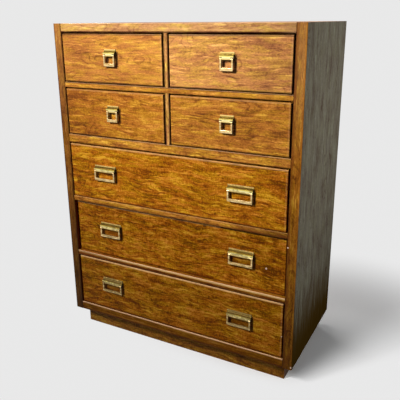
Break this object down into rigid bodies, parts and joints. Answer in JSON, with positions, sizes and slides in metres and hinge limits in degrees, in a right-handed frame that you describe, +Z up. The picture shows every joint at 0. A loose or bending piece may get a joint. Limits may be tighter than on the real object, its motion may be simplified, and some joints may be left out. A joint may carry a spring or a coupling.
{
  "type": "highboy",
  "caption": "Tall chest of drawers: short drawers in pairs over long ones, in a stile-and-rail front on a recessed plinth, with hanging bail pulls.",
  "frame": {"origin": "on the floor, under the middle of the whole chest with its pulls", "axes": "+Z up, the drawers' fronts face -Y, +X to the right as seen from the front"},
  "size_m": [0.965, 0.479, 1.245],
  "materials": {
    "frame_veneer": "satin lacquer, figured brown veneer",
    "drawer_veneer": "satin lacquer, figured honey-brown veneer",
    "side_veneer": "satin lacquer, dark grey-olive veneer",
    "drawer_wood": "plain pale wood, unfinished",
    "carcass_board": "plain board, unfinished",
    "brass": "aged satin brass"
  },
  "bodies": {
    "case": {"plinth_front": "frame_veneer", "plinth_back": "frame_veneer", "plinth_left": "frame_veneer", "plinth_right": "frame_veneer", "left_side_panel": "side_veneer", "right_side_panel": "side_veneer", "top_panel": "frame_veneer", "back_panel": "carcass_board", "bottom_panel": "carcass_board", "left_stile": "frame_veneer", "right_stile": "frame_veneer", "bottom_rail": "frame_veneer", "lower_rail": "frame_veneer", "middle_rail": "frame_veneer", "waist_rail": "frame_veneer", "upper_rail": "frame_veneer", "top_rail": "frame_veneer", "second_divider": "frame_veneer", "top_divider": "frame_veneer", "lower_dust_board": "carcass_board", "middle_dust_board": "carcass_board", "waist_dust_board": "carcass_board", "upper_dust_board": "carcass_board", "top_web_frame": "carcass_board", "second_partition": "carcass_board", "top_partition": "carcass_board"},
    "bottom_drawer": {"bottom_drawer_front": "drawer_veneer", "bottom_drawer_box": "drawer_wood", "bottom_left_pull_plate": "brass", "bottom_right_pull_plate": "brass"},
    "bottom_left_bail": {"bottom_left_pull_bail": "brass"},
    "bottom_right_bail": {"bottom_right_pull_bail": "brass"},
    "fourth_drawer": {"fourth_drawer_front": "drawer_veneer", "fourth_drawer_box": "drawer_wood", "fourth_left_pull_plate": "brass", "fourth_right_pull_plate": "brass"},
    "fourth_left_bail": {"fourth_left_pull_bail": "brass"},
    "fourth_right_bail": {"fourth_right_pull_bail": "brass"},
    "third_drawer": {"third_drawer_front": "drawer_veneer", "third_drawer_box": "drawer_wood", "third_left_pull_plate": "brass", "third_right_pull_plate": "brass"},
    "third_left_bail": {"third_left_pull_bail": "brass"},
    "third_right_bail": {"third_right_pull_bail": "brass"},
    "second_left_drawer": {"second_left_drawer_front": "drawer_veneer", "second_left_drawer_box": "drawer_wood", "second_left_pull_plate": "brass"},
    "second_left_bail": {"second_left_pull_bail": "brass"},
    "second_right_drawer": {"second_right_drawer_front": "drawer_veneer", "second_right_drawer_box": "drawer_wood", "second_right_pull_plate": "brass"},
    "second_right_bail": {"second_right_pull_bail": "brass"},
    "top_left_drawer": {"top_left_drawer_front": "drawer_veneer", "top_left_drawer_box": "drawer_wood", "top_left_pull_plate": "brass"},
    "top_left_bail": {"top_left_pull_bail": "brass"},
    "top_right_drawer": {"top_right_drawer_front": "drawer_veneer", "top_right_drawer_box": "drawer_wood", "top_right_pull_plate": "brass"},
    "top_right_bail": {"top_right_pull_bail": "brass"}
  },
  "joints": [
    {"name": "bottom_slide", "type": "slide", "parent": "case", "child": "bottom_drawer", "axis": [0, -1, 0], "range_m": [0, 0.3]},
    {"name": "bottom_left_bail_pivot", "type": "hinge", "parent": "bottom_drawer", "child": "bottom_left_bail", "pos_m": [-0.2795, -0.23175, 0.229], "axis": [-1, 0, 0], "range_deg": [-10, 130]},
    {"name": "bottom_right_bail_pivot", "type": "hinge", "parent": "bottom_drawer", "child": "bottom_right_bail", "pos_m": [0.2795, -0.23175, 0.229], "axis": [-1, 0, 0], "range_deg": [-10, 130]},
    {"name": "fourth_slide", "type": "slide", "parent": "case", "child": "fourth_drawer", "axis": [0, -1, 0], "range_m": [0, 0.3]},
    {"name": "fourth_left_bail_pivot", "type": "hinge", "parent": "fourth_drawer", "child": "fourth_left_bail", "pos_m": [-0.2795, -0.22275, 0.467], "axis": [-1, 0, 0], "range_deg": [-10, 130]},
    {"name": "fourth_right_bail_pivot", "type": "hinge", "parent": "fourth_drawer", "child": "fourth_right_bail", "pos_m": [0.2795, -0.22275, 0.467], "axis": [-1, 0, 0], "range_deg": [-10, 130]},
    {"name": "third_slide", "type": "slide", "parent": "case", "child": "third_drawer", "axis": [0, -1, 0], "range_m": [0, 0.3]},
    {"name": "third_left_bail_pivot", "type": "hinge", "parent": "third_drawer", "child": "third_left_bail", "pos_m": [-0.2795, -0.23625, 0.705], "axis": [-1, 0, 0], "range_deg": [-10, 130]},
    {"name": "third_right_bail_pivot", "type": "hinge", "parent": "third_drawer", "child": "third_right_bail", "pos_m": [0.2795, -0.23625, 0.705], "axis": [-1, 0, 0], "range_deg": [-10, 130]},
    {"name": "second_left_slide", "type": "slide", "parent": "case", "child": "second_left_drawer", "axis": [0, -1, 0], "range_m": [0, 0.3]},
    {"name": "second_left_bail_pivot", "type": "hinge", "parent": "second_left_drawer", "child": "second_left_bail", "pos_m": [-0.228, -0.23625, 0.9365], "axis": [-1, 0, 0], "range_deg": [-10, 130]},
    {"name": "second_right_slide", "type": "slide", "parent": "case", "child": "second_right_drawer", "axis": [0, -1, 0], "range_m": [0, 0.3]},
    {"name": "second_right_bail_pivot", "type": "hinge", "parent": "second_right_drawer", "child": "second_right_bail", "pos_m": [0.228, -0.23625, 0.9365], "axis": [-1, 0, 0], "range_deg": [-10, 130]},
    {"name": "top_left_slide", "type": "slide", "parent": "case", "child": "top_left_drawer", "axis": [0, -1, 0], "range_m": [0, 0.3]},
    {"name": "top_left_bail_pivot", "type": "hinge", "parent": "top_left_drawer", "child": "top_left_bail", "pos_m": [-0.228, -0.23625, 1.1355], "axis": [-1, 0, 0], "range_deg": [-10, 130]},
    {"name": "top_right_slide", "type": "slide", "parent": "case", "child": "top_right_drawer", "axis": [0, -1, 0], "range_m": [0, 0.3]},
    {"name": "top_right_bail_pivot", "type": "hinge", "parent": "top_right_drawer", "child": "top_right_bail", "pos_m": [0.228, -0.23625, 1.1355], "axis": [-1, 0, 0], "range_deg": [-10, 130]}
  ]
}
